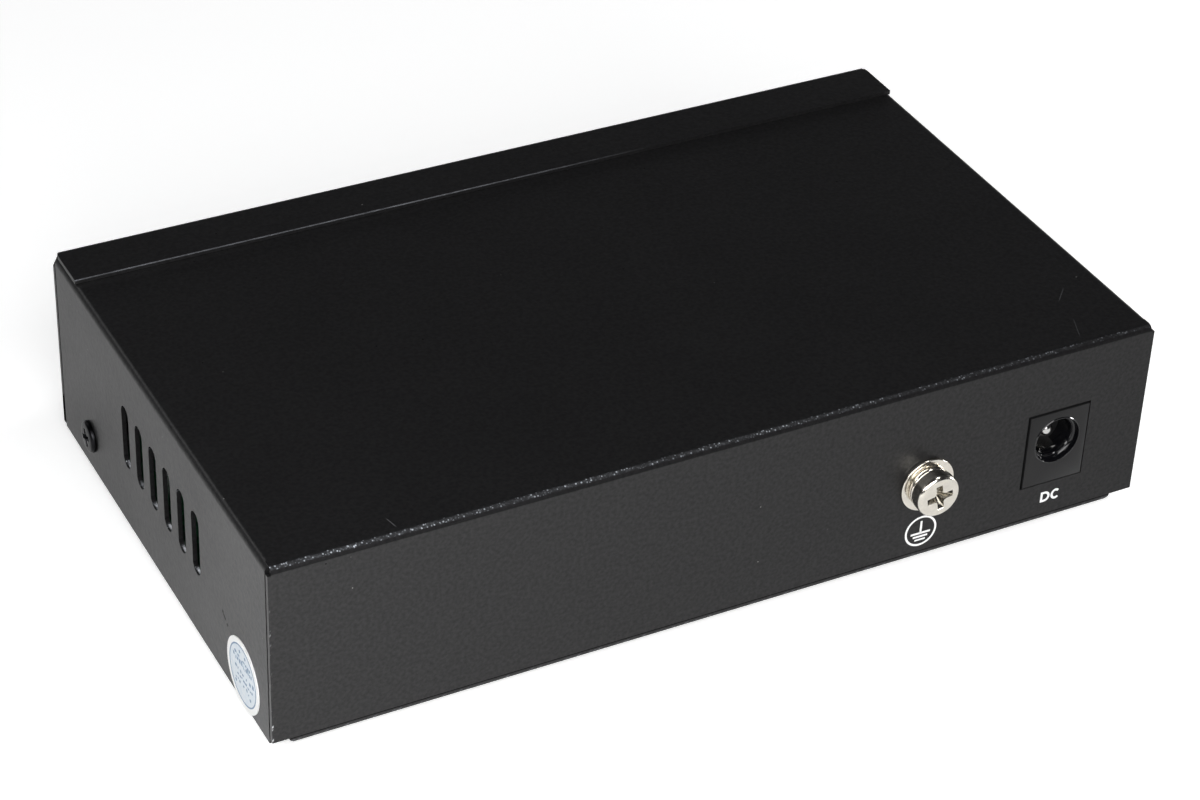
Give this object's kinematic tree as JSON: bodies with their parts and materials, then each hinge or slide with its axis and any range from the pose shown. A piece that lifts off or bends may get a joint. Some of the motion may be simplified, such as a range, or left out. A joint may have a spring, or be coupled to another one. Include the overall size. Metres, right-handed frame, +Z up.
{
  "type": "ethernet switch",
  "caption": "Small network switch in a folded black steel case with slotted sides, front network ports, a rear supply inlet and an earth screw.",
  "frame": {"origin": "on the floor under the middle of the case, in the plane of the feet", "axes": "+Z up, +Y out of the rear wall with the supply inlet and the earth screw, -Y out of the network ports, +X out of the side wall with the seal sticker"},
  "size_m": [0.1234, 0.0764, 0.0299],
  "materials": {
    "case_paint": "fine textured black powder coat",
    "black_screws": "black oxide steel",
    "nickel": "bright nickel plate",
    "plain_steel": "zinc plated",
    "tinned_steel": "tin plated, satin",
    "feet": "matt black rubber",
    "inlet_plastic": "black moulded nylon, glossy in the bore",
    "inner_plastic": "black moulded plastic",
    "board": "green solder mask over glass fibre",
    "gold": "gold plate",
    "lens": "tinted clear epoxy",
    "chip": "moulded epoxy",
    "sleeve": "dark sleeve over aluminium",
    "ferrite": "pressed ferrite",
    "label": "white seal paper with pale blue print"
  },
  "bodies": {
    "root": {"cover_shell": "case_paint", "base_tray": "case_paint", "rubber_feet": "feet", "case_screws": "black_screws", "earth_flat_washer": "nickel", "earth_spring_washer": "nickel", "earth_screw": "nickel", "earth_nut": "plain_steel", "inlet_body": "inlet_plastic", "inlet_pin": "nickel", "inlet_spring": "nickel", "circuit_board": "board", "board_posts": "plain_steel", "board_screws": "plain_steel", "port_housing": "inner_plastic", "port_shield": "tinned_steel", "port_contacts": "gold", "light_holders": "inner_plastic", "status_lights": "lens", "switch_chip": "chip", "switch_chip_leads": "tinned_steel", "power_chip": "chip", "memory_chip": "chip", "smoothing_capacitors": "sleeve", "power_inductor": "ferrite", "supply_diode": "chip", "line_transformers": "chip", "clock_crystal": "tinned_steel", "seal_sticker": "label"}
  },
  "joints": []
}
